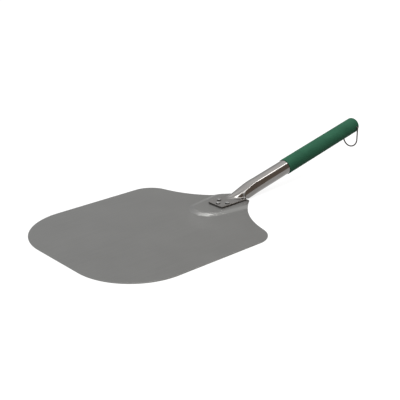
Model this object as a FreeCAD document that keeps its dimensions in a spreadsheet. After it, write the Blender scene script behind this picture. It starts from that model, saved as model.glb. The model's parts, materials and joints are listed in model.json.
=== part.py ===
import FreeCAD, Part
import math
import os
import Sketcher
from FreeCAD import Placement, Rotation, Vector

# A short-handled pizza peel: a flat sheet blade with a pressed boss, a steel
# tube handle whose flattened end is riveted to that boss, a moulded grip
# sleeve and a wire hanging loop.
# Frame: +X runs from the blade to the grip, +Z is up, the blade lies on Z = 0
# and the origin is the centre of the round pizza that fits the blade.

doc = FreeCAD.newDocument("pizza_peel")

# ---------------------------------------------------------------- dimensions
DIMENSIONS = (
    ("blade_width", 300.0),
    ("blade_reach", 150.0),
    ("front_corner_radius", 99.0),
    ("rear_corner_reach", 108.5),
    ("rear_corner_radius", 40.0),
    ("shoulder_reach", 302.0),
    ("shoulder_offset", 153.5),
    ("shoulder_radius", 158.0),
    ("neck_reach", 214.6),
    ("neck_corner_radius", 5.0),
    ("sheet_gauge", 1.5),
    ("boss_rise", 2.4),
    ("boss_reach", 143.8),
    ("boss_foot_radius", 34.0),
    ("boss_crown_radius", 23.5),
    ("boss_flare", 9.0),
    ("tube_radius", 13.0),
    ("tube_wall", 1.2),
    ("handle_pitch", 12.3),
    ("axis_height", 8.3),
    ("barrel_start", 36.2),
    ("tube_length", 299.2),
    ("tab_reach", 155.5),
    ("tab_width", 34.6),
    ("tab_corner_radius", 3.5),
    ("crush_reach", 199.0),
    ("ramp_pitch", 29.5),
    ("ramp_blend", 1.2),
    ("belly_clearance", 0.4),
    ("belly_gap", 6.0),
    ("belly_run", 8.0),
    ("rivet_front_reach", 163.0),
    ("rivet_rear_reach", 174.4),
    ("rivet_spread", 9.9),
    ("rivet_shank_radius", 2.0),
    ("rivet_head_radius", 3.75),
    ("rivet_head_height", 1.9),
    ("rivet_tail_radius", 3.2),
    ("rivet_tail_height", 1.3),
    ("sleeve_start", 110.7),
    ("sleeve_length", 196.5),
    ("sleeve_wall", 1.0),
    ("dome_corner_radius", 7.0),
    ("dome_crown_radius", 20.0),
    ("sleeve_lip", 0.4),
    ("sleeve_eye_radius", 2.3),
    ("pivot_reach", 295.3),
    ("pivot_hole_radius", 1.32),
    ("wire_radius", 1.25),
    ("leg_spread", 15.6),
    ("leg_drop", 23.5),
    ("elbow_radius", 2.0),
    ("pin_tip", 9.8),
)

sheet = doc.addObject("Spreadsheet::Sheet", "dims")
for row, (alias, value) in enumerate(DIMENSIONS, start=1):
    sheet.set(f"A{row}", alias)
    sheet.set(f"B{row}", str(value))
    sheet.setAlias(f"B{row}", alias)
doc.recompute()


def size(alias):
    """The value of one driving dimension."""
    return float(sheet.get(alias))


def add(kind, name, **bindings):
    """Adds an object and binds its properties to sheet formulas."""
    thing = doc.addObject(kind, name)
    for prop, formula in bindings.items():
        thing.setExpression(prop, formula)
    return thing


def cylinder(name, radius, length, place):
    """A cylinder along the Z axis of its placement, bound to the sheet."""
    rod = add("Part::Cylinder", name, Radius=radius, Height=length)
    rod.Placement = place
    return rod


def union(name, parts):
    joined = doc.addObject("Part::MultiFuse", name)
    joined.Shapes = parts
    joined.Refine = True
    return joined


def cut(name, base, tool):
    result = doc.addObject("Part::Cut", name)
    result.Base = base
    result.Tool = tool
    result.Refine = True
    return result


# ------------------------------------------------------------------ sketches
START, END, CENTRE = 1, 2, 3
ORIGIN_POINT = (-1, 1)
X_AXIS = -1


def body_sketch(body, name, role):
    """A sketch on one origin plane of its own body."""
    plane = next(f for f in body.Origin.OriginFeatures if f.Role == role)
    sketch = body.newObject("Sketcher::SketchObject", name)
    sketch.AttachmentSupport = [(plane, "")]
    sketch.MapMode = "FlatFace"
    return sketch


def flat(*coordinates):
    return Vector(*coordinates, 0.0)


def line(start, end):
    return Part.LineSegment(flat(*start), flat(*end))


def arc(centre, radius, first, last):
    """Counter-clockwise arc between two angles in degrees."""
    circle = Part.Circle(flat(*centre), Vector(0, 0, 1), radius)
    return Part.ArcOfCircle(circle, math.radians(first), math.radians(last))


def constrain(sketch, *args):
    return sketch.addConstraint(Sketcher.Constraint(*args))


def dimension(sketch, name, formula, *args):
    """A named driving constraint whose value follows the sheet."""
    index = constrain(sketch, *args)
    sketch.renameConstraint(index, name)
    sketch.setExpression(f"Constraints.{name}", formula)


# --------------------------------------------------------------------- blade
def outline_sketch():
    """The blade's outline: a straight front edge, large front corners,
    parallel sides and concave shoulders down to the neck."""
    sketch = doc.addObject("Sketcher::SketchObject", "blade_outline")
    half_width = size("blade_width") / 2
    front = -size("blade_reach")
    neck = size("neck_reach")
    front_radius = size("front_corner_radius")
    rear_radius = size("rear_corner_radius")
    shoulder_radius = size("shoulder_radius")
    neck_radius = size("neck_corner_radius")

    front_centre = (front + front_radius, half_width - front_radius)
    rear_centre = (size("rear_corner_reach"), half_width - rear_radius)
    shoulder_centre = (size("shoulder_reach"), size("shoulder_offset"))

    # The slanting side is the inner tangent of the two circles it joins.
    gap_x = shoulder_centre[0] - rear_centre[0]
    gap_y = shoulder_centre[1] - rear_centre[1]
    gap = math.hypot(gap_x, gap_y)
    lean = math.acos((rear_radius + shoulder_radius) / gap)
    slant = math.degrees(math.atan2(gap_y, gap_x) + lean)
    outward = (math.cos(math.radians(slant)), math.sin(math.radians(slant)))
    slant_top = tuple(c + rear_radius * n for c, n in zip(rear_centre, outward))
    slant_foot = tuple(c - shoulder_radius * n for c, n in zip(shoulder_centre, outward))

    # The neck corner is tangent to the shoulder and to the neck's end.
    corner_x = neck - neck_radius
    reach = shoulder_radius + neck_radius
    corner_y = shoulder_centre[1] - math.sqrt(reach**2 - (shoulder_centre[0] - corner_x) ** 2)
    turn = math.degrees(math.atan2(shoulder_centre[1] - corner_y, shoulder_centre[0] - corner_x))

    def side(sign):
        """One side's curves, from the front corner to the neck corner."""

        def at(point):
            return (point[0], sign * point[1])

        def bend(centre, radius, first, last):
            if sign > 0:
                return arc(at(centre), radius, first, last)
            return arc(at(centre), radius, -last, -first)

        return (
            bend(front_centre, front_radius, 90, 180),
            line(at((front_centre[0], half_width)), at((rear_centre[0], half_width))),
            bend(rear_centre, rear_radius, slant, 90),
            line(at(slant_top), at(slant_foot)),
            bend(shoulder_centre, shoulder_radius, slant + 180, turn + 180),
            bend((corner_x, corner_y), neck_radius, 0, turn),
        )

    left, right = side(1), side(-1)
    for curve in left + right:
        sketch.addGeometry(curve)
    front_line = sketch.addGeometry(line((front, front_centre[1]), (front, -front_centre[1])))
    neck_line = sketch.addGeometry(line((neck, corner_y), (neck, -corner_y)))
    front_arc, side_line, rear_arc, slant_line, shoulder_arc, neck_arc = range(6)
    mirror = len(left)

    # Left side: smooth joints all the way round.
    constrain(sketch, "Tangent", front_line, START, front_arc, END)
    constrain(sketch, "Tangent", front_arc, START, side_line, START)
    constrain(sketch, "Tangent", side_line, END, rear_arc, END)
    constrain(sketch, "Tangent", rear_arc, START, slant_line, START)
    constrain(sketch, "Tangent", slant_line, END, shoulder_arc, START)
    constrain(sketch, "Tangent", shoulder_arc, END, neck_arc, END)
    constrain(sketch, "Tangent", neck_arc, START, neck_line, START)
    constrain(sketch, "Horizontal", side_line)

    # Right side: the same joints, each the mirror image of its partner.
    joints = (
        (front_line, END, front_arc + mirror, START, front_line, START),
        (front_arc + mirror, END, side_line + mirror, START, side_line, START),
        (side_line + mirror, END, rear_arc + mirror, START, side_line, END),
        (rear_arc + mirror, END, slant_line + mirror, START, slant_line, START),
        (slant_line + mirror, END, shoulder_arc + mirror, END, slant_line, END),
        (shoulder_arc + mirror, START, neck_arc + mirror, START, shoulder_arc, END),
        (neck_arc + mirror, END, neck_line, END, neck_line, START),
    )
    for first, first_point, second, second_point, partner, partner_point in joints:
        constrain(sketch, "Coincident", first, first_point, second, second_point)
        constrain(sketch, "Symmetric", first, first_point, partner, partner_point, X_AXIS)
    for curve in (front_arc, rear_arc, shoulder_arc, neck_arc):
        constrain(sketch, "Equal", curve, curve + mirror)

    dimension(sketch, "half_width", "dims.blade_width / 2",
              "DistanceY", *ORIGIN_POINT, side_line, START, half_width)
    dimension(sketch, "front_reach", "dims.blade_reach",
              "DistanceX", front_line, START, *ORIGIN_POINT, -front)
    dimension(sketch, "neck_reach", "dims.neck_reach",
              "DistanceX", *ORIGIN_POINT, neck_line, START, neck)
    dimension(sketch, "front_radius", "dims.front_corner_radius",
              "Radius", front_arc, front_radius)
    dimension(sketch, "rear_radius", "dims.rear_corner_radius",
              "Radius", rear_arc, rear_radius)
    dimension(sketch, "rear_reach", "dims.rear_corner_reach",
              "DistanceX", *ORIGIN_POINT, rear_arc, CENTRE, rear_centre[0])
    dimension(sketch, "shoulder_radius", "dims.shoulder_radius",
              "Radius", shoulder_arc, shoulder_radius)
    dimension(sketch, "shoulder_reach", "dims.shoulder_reach",
              "DistanceX", *ORIGIN_POINT, shoulder_arc, CENTRE, shoulder_centre[0])
    dimension(sketch, "shoulder_offset", "dims.shoulder_offset",
              "DistanceY", *ORIGIN_POINT, shoulder_arc, CENTRE, shoulder_centre[1])
    dimension(sketch, "neck_radius", "dims.neck_corner_radius",
              "Radius", neck_arc, neck_radius)
    return sketch


def tongue_sketch(name, radius_alias, level):
    """One contour of the boss: a round front whose tangent sides flare
    towards the neck and run past its end."""
    sketch = doc.addObject("Sketcher::SketchObject", name)
    radius = size(radius_alias)
    flare = size("boss_flare")
    centre = size("boss_reach")
    end = size("neck_reach") + size("neck_corner_radius")
    lean = math.radians(flare)
    touch = (centre - radius * math.sin(lean), radius * math.cos(lean))
    spread = touch[1] + (end - touch[0]) * math.tan(lean)
    front = sketch.addGeometry(arc((centre, 0), radius, 90 + flare, 270 - flare))
    left = sketch.addGeometry(line(touch, (end, spread)))
    back = sketch.addGeometry(line((end, spread), (end, -spread)))
    right = sketch.addGeometry(line((end, -spread), (touch[0], -touch[1])))
    constrain(sketch, "Tangent", front, START, left, START)
    constrain(sketch, "Coincident", left, END, back, START)
    constrain(sketch, "Coincident", back, END, right, START)
    constrain(sketch, "Tangent", right, END, front, END)
    constrain(sketch, "PointOnObject", front, CENTRE, X_AXIS)
    constrain(sketch, "Symmetric", left, END, right, START, X_AXIS)
    dimension(sketch, "radius", f"dims.{radius_alias}", "Radius", front, radius)
    dimension(sketch, "centre", "dims.boss_reach",
              "DistanceX", *ORIGIN_POINT, front, CENTRE, centre)
    dimension(sketch, "end", "dims.neck_reach + dims.neck_corner_radius",
              "DistanceX", *ORIGIN_POINT, left, END, end)
    dimension(sketch, "flare", "dims.boss_flare * 1 deg", "Angle", left, lean)
    sketch.setExpression("Placement.Base.z", level)
    return sketch


def make_blade():
    """Flat sheet with the boss pressed up from below, so the metal keeps
    its gauge and the rivet tails stay clear of the table."""
    outline = outline_sketch()

    def slab(name, height):
        block = add("Part::Extrusion", name, LengthFwd=height)
        block.Base = outline
        block.DirMode = "Custom"
        block.Dir = Vector(0, 0, 1)
        block.Solid = True
        return block

    def pressing(name, foot_level, crown_level):
        """The solid under one side of the boss, between two contours."""
        shape = doc.addObject("Part::Loft", name)
        shape.Sections = [
            tongue_sketch(f"{name}_foot", "boss_foot_radius", foot_level),
            tongue_sketch(f"{name}_crown", "boss_crown_radius", crown_level),
        ]
        shape.Solid = True
        shape.Ruled = True
        return shape

    upper = pressing("boss_upper", "dims.sheet_gauge", "dims.sheet_gauge + dims.boss_rise")
    lower = pressing("boss_lower", "0", "dims.boss_rise")
    trimmed = doc.addObject("Part::MultiCommon", "boss_trimmed")
    trimmed.Shapes = [slab("outline_block", "dims.sheet_gauge + dims.boss_rise"), upper]
    raised = union("raised_sheet", [slab("flat_sheet", "dims.sheet_gauge"), trimmed])
    pressed = cut("pressed_sheet", raised, lower)
    return cut("blade", pressed, rivet_drills("blade"))


# -------------------------------------------------------------------- rivets
RIVETS = (
    ("rivet_front", "dims.rivet_front_reach", "0"),
    ("rivet_left", "dims.rivet_rear_reach", "dims.rivet_spread"),
    ("rivet_right", "dims.rivet_rear_reach", "-dims.rivet_spread"),
)
BOSS_TOP = "(dims.sheet_gauge + dims.boss_rise)"


def rivet_drills(owner):
    """Three holes through whatever the rivets join."""
    drills = []
    for name, reach, offset in RIVETS:
        drill = add("Part::Cylinder", f"{owner}_{name}_hole",
                    Radius="dims.rivet_shank_radius",
                    Height=f"2 * {BOSS_TOP}")
        drill.setExpression("Placement.Base.x", reach)
        drill.setExpression("Placement.Base.y", offset)
        drills.append(drill)
    return union(f"{owner}_rivet_holes", drills)


def make_rivet(name, reach, offset):
    """Domed head on the tab, shank, and a tail set under the boss."""
    body = doc.addObject("PartDesign::Body", name)
    sketch = body_sketch(body, f"{name}_profile", "XZ_Plane")
    shank = size("rivet_shank_radius")
    tail_radius = size("rivet_tail_radius")
    head_radius = size("rivet_head_radius")
    under = size("boss_rise")
    tail = under - size("rivet_tail_height")
    seat = size("sheet_gauge") + under + 2 * size("tube_wall")
    crown = seat + size("rivet_head_height")
    rise = crown - seat
    dome_radius = (head_radius**2 + rise**2) / (2 * rise)
    dome_angle = math.degrees(math.asin(head_radius / dome_radius))
    path = [(0, crown), (0, tail), (tail_radius, tail), (tail_radius, under),
            (shank, under), (shank, seat), (head_radius, seat)]
    for start, end in zip(path, path[1:]):
        sketch.addGeometry(line(start, end))
    dome = sketch.addGeometry(arc((0, crown - dome_radius), dome_radius, 90 - dome_angle, 90))
    axis, tail_base, tail_side, tail_seat, shank_side, head_seat = range(6)
    for joint in range(5):
        constrain(sketch, "Coincident", joint, END, joint + 1, START)
    constrain(sketch, "Coincident", head_seat, END, dome, START)
    constrain(sketch, "Coincident", dome, END, axis, START)
    constrain(sketch, "PointOnObject", axis, START, -2)
    constrain(sketch, "PointOnObject", dome, CENTRE, -2)
    for upright in (axis, tail_side, shank_side):
        constrain(sketch, "Vertical", upright)
    for level in (tail_base, tail_seat, head_seat):
        constrain(sketch, "Horizontal", level)
    dimension(sketch, "shank", "dims.rivet_shank_radius",
              "DistanceX", *ORIGIN_POINT, shank_side, START, shank)
    dimension(sketch, "tail_radius", "dims.rivet_tail_radius",
              "DistanceX", *ORIGIN_POINT, tail_side, START, tail_radius)
    dimension(sketch, "head_radius", "dims.rivet_head_radius",
              "DistanceX", *ORIGIN_POINT, head_seat, END, head_radius)
    dimension(sketch, "under", "dims.boss_rise",
              "DistanceY", *ORIGIN_POINT, shank_side, START, under)
    dimension(sketch, "tail", "dims.boss_rise - dims.rivet_tail_height",
              "DistanceY", *ORIGIN_POINT, tail_side, START, tail)
    dimension(sketch, "seat", f"{BOSS_TOP} + 2 * dims.tube_wall",
              "DistanceY", *ORIGIN_POINT, head_seat, START, seat)
    dimension(sketch, "crown", f"{BOSS_TOP} + 2 * dims.tube_wall + dims.rivet_head_height",
              "DistanceY", *ORIGIN_POINT, axis, START, crown)
    turned = body.newObject("PartDesign::Revolution", f"{name}_turned")
    turned.Profile = sketch
    turned.ReferenceAxis = (sketch, ["V_Axis"])
    turned.Angle = 360
    sketch.Visibility = False
    body.setExpression("Placement.Base.x", reach)
    body.setExpression("Placement.Base.y", offset)
    return body


# --------------------------------------------------------------- handle tube
def handle_place(reach=0.0):
    """The frame on the handle's axis, a distance up from the neck's end,
    with X along the axis and Y across the peel."""
    root = Placement(Vector(size("neck_reach"), 0, size("axis_height")),
                     Rotation(Vector(0, 1, 0), -size("handle_pitch")))
    return root * Placement(Vector(reach, 0, 0), Rotation())


TURN_TO_AXIS = Placement(Vector(), Rotation(Vector(0, 1, 0), 90))
TURN_ACROSS = Placement(Vector(), Rotation(Vector(1, 0, 0), 90))


def across_handle(reach, half_length):
    """The start of a hole that crosses the handle at a place on its axis."""
    middle = handle_place(reach) * TURN_ACROSS
    return middle * Placement(Vector(0, 0, -half_length), Rotation())


# The crushed stretch: how hard its conics pull into their corners where the
# tube is round and where it is flat, how fast its width settles, how many
# sections shape it and where its hollow starts.
ROUND_WEIGHT = math.sqrt(0.5)
FLAT_WEIGHT = 3.0
WIDTH_FADE = 1.5
CRUSH_STEPS = 12
CAVITY_START = 0.05
STRIP_DEGREE = 2


def soft_minimum(first, second, blend):
    """The smaller of two values, with the corner between them rounded."""
    return (first + second) / 2 - math.hypot((first - second) / 2, blend)


def crush_section(fraction, inset):
    """The tube's section part of the way from its flat tab (0) to the full
    round barrel (1), drawn in by the inset: eight points round it and how
    strongly the four corner points pull the conics between the others."""
    pitch = math.radians(size("handle_pitch"))
    radius = size("tube_radius")
    barrel = handle_place(size("barrel_start")).Base
    reach = size("crush_reach") + fraction * (barrel.x - size("crush_reach"))
    axis_height = size("axis_height") + (reach - size("neck_reach")) * math.tan(pitch)
    seat = size("sheet_gauge") + size("boss_rise")

    # The top climbs a ramp to the barrel's upper line; the bottom keeps to
    # the boss until it is past the neck, then drops towards the table.
    ramp = seat + 2 * size("tube_wall")
    ramp += (reach - size("crush_reach")) * math.tan(math.radians(size("ramp_pitch")))
    top = soft_minimum(ramp, axis_height + radius / math.cos(pitch), size("ramp_blend"))
    belly = max(size("belly_clearance"), axis_height - radius / math.cos(pitch))
    past_neck = (reach - size("neck_reach") - size("belly_gap")) / size("belly_run")
    past_neck = min(max(past_neck, 0.0), 1.0)
    bottom = seat + (belly - seat) * past_neck**2 * (3 - 2 * past_neck)
    if fraction == 0:
        top = ramp
    width = (1 - fraction**2) ** WIDTH_FADE * (size("tab_width") / 2 - radius) + radius - inset
    height = (top - bottom) / 2 - inset
    middle = Vector(reach, 0, (top + bottom) / 2)
    if fraction == 1:
        middle = barrel
        height = radius - inset

    tilt = pitch * fraction
    across = Vector(0, width, 0)
    upward = Vector(-math.sin(tilt), 0, math.cos(tilt)) * height
    points = []
    for start, end in ((across, upward), (upward, -across), (-across, -upward), (-upward, across)):
        points += [middle + start, middle + start + end]
    weight = ROUND_WEIGHT + (FLAT_WEIGHT - ROUND_WEIGHT) * (1 - fraction) ** 2
    return points, weight


def crush_solid(name, fractions, inset):
    """The flattened stretch of the tube, which no primitive or pad fits:
    four conic strips along it, closed by a flat face at each end."""
    sections = [crush_section(fraction, inset) for fraction in fractions]
    count = len(sections)
    knots = list(range(count - STRIP_DEGREE + 1))
    repeats = [STRIP_DEGREE + 1] + [1] * (count - STRIP_DEGREE - 1) + [STRIP_DEGREE + 1]
    strips = []
    for quarter in range(4):
        poles = [[points[(2 * quarter + k) % 8] for points, _ in sections] for k in range(3)]
        weights = [[1.0] * count, [weight for _, weight in sections], [1.0] * count]
        strip = Part.BSplineSurface()
        strip.buildFromPolesMultsKnots(poles, [3, 3], repeats, [0, 1], knots,
                                       False, False, 2, STRIP_DEGREE, weights)
        strips.append(strip)
    faces = [strip.toShape() for strip in strips]
    for end in (knots[0], knots[-1]):
        rim = [strip.vIso(end).toShape() for strip in strips]
        faces.append(Part.Face(Part.Wire(rim)))
    shell = Part.makeShell(faces)
    shell.sewShape()
    closed = Part.makeSolid(shell)
    if closed.Volume < 0:
        closed.reverse()
    solid = doc.addObject("Part::Feature", name)
    solid.Shape = closed
    solid.Placement = Placement()
    return solid


def tab_plate():
    """The flat riveted end, with rounded front corners."""
    body = doc.addObject("PartDesign::Body", "tab_body")
    sketch = body_sketch(body, "tab_outline", "XY_Plane")
    front = size("tab_reach")
    back = size("crush_reach")
    half = size("tab_width") / 2
    corner = size("tab_corner_radius")
    sketch.addGeometry(line((front, half - corner), (front, corner - half)))
    sketch.addGeometry(arc((front + corner, corner - half), corner, 180, 270))
    sketch.addGeometry(line((front + corner, -half), (back, -half)))
    sketch.addGeometry(line((back, -half), (back, half)))
    sketch.addGeometry(line((back, half), (front + corner, half)))
    sketch.addGeometry(arc((front + corner, half - corner), corner, 90, 180))
    front_line, right_arc, right_line, back_line, left_line, left_arc = range(6)
    constrain(sketch, "Tangent", front_line, END, right_arc, START)
    constrain(sketch, "Tangent", right_arc, END, right_line, START)
    constrain(sketch, "Coincident", right_line, END, back_line, START)
    constrain(sketch, "Coincident", back_line, END, left_line, START)
    constrain(sketch, "Tangent", left_line, END, left_arc, START)
    constrain(sketch, "Tangent", left_arc, END, front_line, START)
    constrain(sketch, "Vertical", front_line)
    constrain(sketch, "Symmetric", back_line, START, back_line, END, X_AXIS)
    constrain(sketch, "Horizontal", left_line)
    constrain(sketch, "Horizontal", right_line)
    constrain(sketch, "Equal", left_arc, right_arc)
    dimension(sketch, "front", "dims.tab_reach",
              "DistanceX", *ORIGIN_POINT, front_line, START, front)
    dimension(sketch, "back", "dims.crush_reach",
              "DistanceX", *ORIGIN_POINT, back_line, START, back)
    dimension(sketch, "width", "dims.tab_width",
              "DistanceY", back_line, START, back_line, END, 2 * half)
    dimension(sketch, "corner", "dims.tab_corner_radius", "Radius", left_arc, corner)
    pad = body.newObject("PartDesign::Pad", "tab_pad")
    pad.Profile = sketch
    pad.setExpression("Length", "2 * dims.tube_wall")
    sketch.Visibility = False
    body.setExpression("Placement.Base.z", BOSS_TOP)
    return body


def make_handle_tube():
    """One steel tube: a hollow barrel, crushed flat at the blade end."""
    barrel_length = "dims.tube_length - dims.barrel_start"
    barrel_place = handle_place(size("barrel_start")) * TURN_TO_AXIS
    stations = [step / CRUSH_STEPS for step in range(CRUSH_STEPS + 1)]
    outside = union("tube_outside", [
        tab_plate(),
        crush_solid("crush_outside", stations, 0.0),
        cylinder("barrel_outside", "dims.tube_radius", barrel_length, barrel_place),
    ])
    hollow = union("tube_hollow", [
        crush_solid("crush_hollow", [CAVITY_START] + stations[1:], size("tube_wall")),
        cylinder("barrel_hollow", "dims.tube_radius - dims.tube_wall", barrel_length, barrel_place),
    ])
    pivot_hole = cylinder("tube_pivot_hole", "dims.pivot_hole_radius", "4 * dims.tube_radius",
                          across_handle(size("pivot_reach"), 2 * size("tube_radius")))
    tools = union("tube_cuts", [hollow, rivet_drills("tube"), pivot_hole])
    return cut("handle_tube", outside, tools)


# --------------------------------------------------------------- grip sleeve
def make_grip_sleeve():
    """A moulded sleeve with a domed, closed end and an eye on each side
    where the hanging loop passes through."""
    body = doc.addObject("PartDesign::Body", "sleeve_body")
    sketch = body_sketch(body, "sleeve_profile", "XZ_Plane")
    start = size("sleeve_start")
    end = start + size("sleeve_length")
    bore = size("tube_radius")
    outer = bore + size("sleeve_wall")
    floor = size("tube_length")
    lip = size("sleeve_lip")
    corner = size("dome_corner_radius")
    crown = size("dome_crown_radius")
    crown_centre = end - crown
    corner_height = outer - corner
    corner_reach = crown_centre + math.sqrt((crown - corner) ** 2 - corner_height**2)
    turn = math.degrees(math.asin(corner_height / (crown - corner)))
    sketch.addGeometry(line((floor, bore), (floor, 0)))
    sketch.addGeometry(line((floor, 0), (end, 0)))
    sketch.addGeometry(arc((crown_centre, 0), crown, 0, turn))
    sketch.addGeometry(arc((corner_reach, corner_height), corner, turn, 90))
    sketch.addGeometry(line((corner_reach, outer), (start + lip, outer)))
    sketch.addGeometry(line((start + lip, outer), (start, outer - lip)))
    sketch.addGeometry(line((start, outer - lip), (start, bore)))
    sketch.addGeometry(line((start, bore), (floor, bore)))
    floor_line, axis_line, crown_arc, corner_arc, skin, bevel, mouth, bore_line = range(8)
    constrain(sketch, "Coincident", floor_line, END, axis_line, START)
    constrain(sketch, "Coincident", axis_line, END, crown_arc, START)
    constrain(sketch, "Tangent", crown_arc, END, corner_arc, START)
    constrain(sketch, "Tangent", corner_arc, END, skin, START)
    constrain(sketch, "Coincident", skin, END, bevel, START)
    constrain(sketch, "Coincident", bevel, END, mouth, START)
    constrain(sketch, "Coincident", mouth, END, bore_line, START)
    constrain(sketch, "Coincident", bore_line, END, floor_line, START)
    for point in ((axis_line, START), (axis_line, END), (crown_arc, CENTRE)):
        constrain(sketch, "PointOnObject", *point, X_AXIS)
    for upright in (floor_line, mouth):
        constrain(sketch, "Vertical", upright)
    for level in (skin, bore_line):
        constrain(sketch, "Horizontal", level)
    dimension(sketch, "bore", "dims.tube_radius",
              "DistanceY", *ORIGIN_POINT, floor_line, START, bore)
    dimension(sketch, "outer", "dims.tube_radius + dims.sleeve_wall",
              "DistanceY", *ORIGIN_POINT, skin, START, outer)
    dimension(sketch, "start", "dims.sleeve_start",
              "DistanceX", *ORIGIN_POINT, mouth, START, start)
    dimension(sketch, "end", "dims.sleeve_start + dims.sleeve_length",
              "DistanceX", *ORIGIN_POINT, axis_line, END, end)
    dimension(sketch, "floor", "dims.tube_length",
              "DistanceX", *ORIGIN_POINT, axis_line, START, floor)
    dimension(sketch, "lip_across", "dims.sleeve_lip",
              "DistanceY", mouth, START, skin, END, lip)
    dimension(sketch, "lip_along", "dims.sleeve_lip",
              "DistanceX", mouth, START, skin, END, lip)
    dimension(sketch, "crown", "dims.dome_crown_radius", "Radius", crown_arc, crown)
    dimension(sketch, "corner", "dims.dome_corner_radius", "Radius", corner_arc, corner)
    turned = body.newObject("PartDesign::Revolution", "sleeve_turned")
    turned.Profile = sketch
    turned.ReferenceAxis = (sketch, ["H_Axis"])
    turned.Angle = 360
    sketch.Visibility = False
    body.Placement = handle_place()
    eyes = cylinder("sleeve_eyes", "dims.sleeve_eye_radius", "4 * dims.tube_radius",
                    across_handle(size("pivot_reach"), 2 * size("tube_radius")))
    return cut("grip_sleeve", body, eyes)


# -------------------------------------------------------------- hanging loop
def make_hanging_loop():
    """A U of stiff wire whose ends turn inwards through the tube. It is
    drawn about its own pivot, which is the Y axis, hanging straight down."""
    spread = size("leg_spread")
    drop = size("leg_drop")
    elbow = size("elbow_radius")
    bow = add("Part::Torus", "loop_bow", Radius1="dims.leg_spread", Radius2="dims.wire_radius")
    bow.Angle3 = 180
    bow.Placement = Placement(Vector(0, 0, -drop),
                              Rotation(Vector(0, 1, 0), Vector(0, 0, -1), Vector(-1, 0, 0)))
    pieces = [bow]
    for side, sign in (("left", 1), ("right", -1)):
        foot = Placement(Vector(0, sign * spread, -drop), Rotation())
        pieces.append(cylinder(f"loop_leg_{side}", "dims.wire_radius",
                               "dims.leg_drop - dims.elbow_radius", foot))
        bend = add("Part::Torus", f"loop_elbow_{side}",
                   Radius1="dims.elbow_radius", Radius2="dims.wire_radius")
        bend.Angle3 = 90
        outward = Vector(0, sign, 0)
        bend.Placement = Placement(Vector(0, sign * (spread - elbow), -elbow),
                                   Rotation(outward, Vector(0, 0, 1), Vector(sign, 0, 0)))
        pieces.append(bend)
        inward = Rotation(Vector(0, 0, 1), -outward)
        pieces.append(cylinder(f"loop_pin_{side}", "dims.wire_radius",
                               "dims.leg_spread - dims.elbow_radius - dims.pin_tip",
                               Placement(Vector(0, sign * (spread - elbow), 0), inward)))
    loop = union("hanging_loop", pieces)
    loop.Placement = Placement(handle_place(size("pivot_reach")).Base, Rotation())
    return loop


# --------------------------------------------------------------------- build
sub_parts = [make_blade()]
sub_parts += [make_rivet(*rivet) for rivet in RIVETS]
sub_parts += [make_handle_tube(), make_grip_sleeve(), make_hanging_loop()]
doc.recompute()

for thing in doc.Objects:
    faults = {"Invalid", "Error"} & set(thing.State)
    if faults:
        raise RuntimeError(f"{thing.Label} failed: {sorted(faults)}")
for part in sub_parts:
    if part.Shape.isNull() or not part.Shape.isValid():
        raise RuntimeError(f"{part.Label} has no valid shape")
    if len(part.Shape.Solids) != 1:
        raise RuntimeError(f"{part.Label} is {len(part.Shape.Solids)} solids, not one")

os.makedirs("parts", exist_ok=True)
for part in sub_parts:
    part.Shape.exportStep(f"parts/{part.Label}.step")
    print(f"{part.Label}: {part.Shape.Volume:.1f} mm3")
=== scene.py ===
import json
import math

import bmesh
import bpy
import numpy as np
from mathutils import Matrix, Vector
from mathutils.geometry import delaunay_2d_cdt


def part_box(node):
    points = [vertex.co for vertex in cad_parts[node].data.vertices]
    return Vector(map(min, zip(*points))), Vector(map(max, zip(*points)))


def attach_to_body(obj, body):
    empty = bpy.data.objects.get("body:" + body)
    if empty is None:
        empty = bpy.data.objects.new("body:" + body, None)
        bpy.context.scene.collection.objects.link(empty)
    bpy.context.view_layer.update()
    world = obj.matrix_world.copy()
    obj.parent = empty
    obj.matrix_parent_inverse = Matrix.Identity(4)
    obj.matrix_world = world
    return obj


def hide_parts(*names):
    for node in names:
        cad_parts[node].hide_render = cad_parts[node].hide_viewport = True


# A short-handled pizza peel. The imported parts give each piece's place; the
# meshes here have its finer shape: the pressed boss, the broken edges of the
# sheet, the crushed end of the tube, the set rivets, the moulded grip and the
# bent wire. Lengths are in metres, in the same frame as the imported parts.
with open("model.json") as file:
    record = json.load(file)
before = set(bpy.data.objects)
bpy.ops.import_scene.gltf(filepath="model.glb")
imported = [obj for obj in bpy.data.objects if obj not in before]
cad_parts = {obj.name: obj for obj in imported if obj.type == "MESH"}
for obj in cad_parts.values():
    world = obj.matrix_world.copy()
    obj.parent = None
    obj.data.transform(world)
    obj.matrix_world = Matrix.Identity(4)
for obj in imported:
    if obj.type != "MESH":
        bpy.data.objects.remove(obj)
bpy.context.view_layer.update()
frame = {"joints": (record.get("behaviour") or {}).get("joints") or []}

MM = 0.001
PEEL = "peel"
LOOP = "loop"
SHARP_EDGE = math.radians(38)
SAME_POINT = 0.001 * MM
BORE_SEGMENTS = 48

# ------------------------------------------------------------ sizes and places
BLADE_LOW, BLADE_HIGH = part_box("blade")
TUBE_LOW, TUBE_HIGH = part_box("handle_tube")
SWING = next(joint for joint in frame["joints"] if joint["name"] == "loop_swing")
PIVOT = Vector(SWING["pos_m"])
ACROSS_PIVOT = Matrix.Translation(PIVOT) @ Matrix.Rotation(math.pi / 2, 4, "X")

BLADE_FRONT = BLADE_LOW.x
NECK_END = BLADE_HIGH.x
HALF_BLADE = BLADE_HIGH.y
FRONT_CORNER = 99 * MM
REAR_CORNER = 40 * MM
REAR_CORNER_X = 108.5 * MM
SHOULDER_RADIUS = 158 * MM
SHOULDER_CENTRE = (302 * MM, 153.5 * MM)
NECK_CORNER = 5 * MM
GAUGE = 1.5 * MM
EDGE_ROUNDING = 0.45 * MM

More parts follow.
